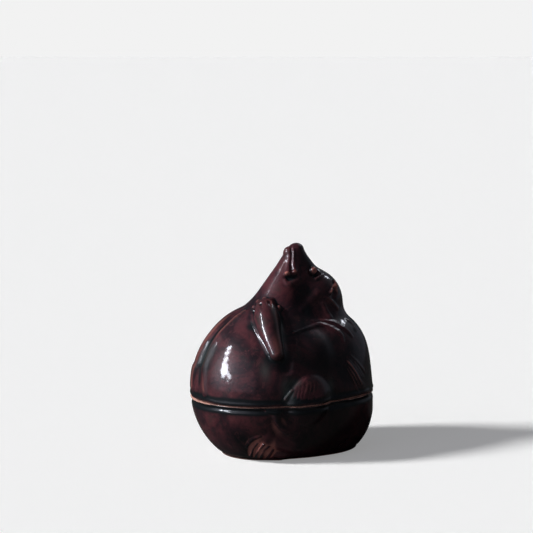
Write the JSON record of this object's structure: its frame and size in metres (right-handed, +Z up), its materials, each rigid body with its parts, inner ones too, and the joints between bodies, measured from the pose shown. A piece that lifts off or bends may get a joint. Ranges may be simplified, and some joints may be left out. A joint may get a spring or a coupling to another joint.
{
  "type": "incense container",
  "caption": "Glazed ceramic incense container shaped as a seated animal with a round belly and its head thrown back, with a lift-off lid.",
  "frame": {"origin": "on the table, under the middle of the figure's outline", "axes": "-X is the way the animal's belly faces, -Y is its left side, +Z is up"},
  "size_m": [0.0696, 0.0554, 0.0745],
  "materials": {
    "glaze": "glossy dark brown glaze, bare clay at the seam and under the base"
  },
  "bodies": {
    "root": {"box": "glaze", "lid": "glaze"}
  },
  "joints": []
}
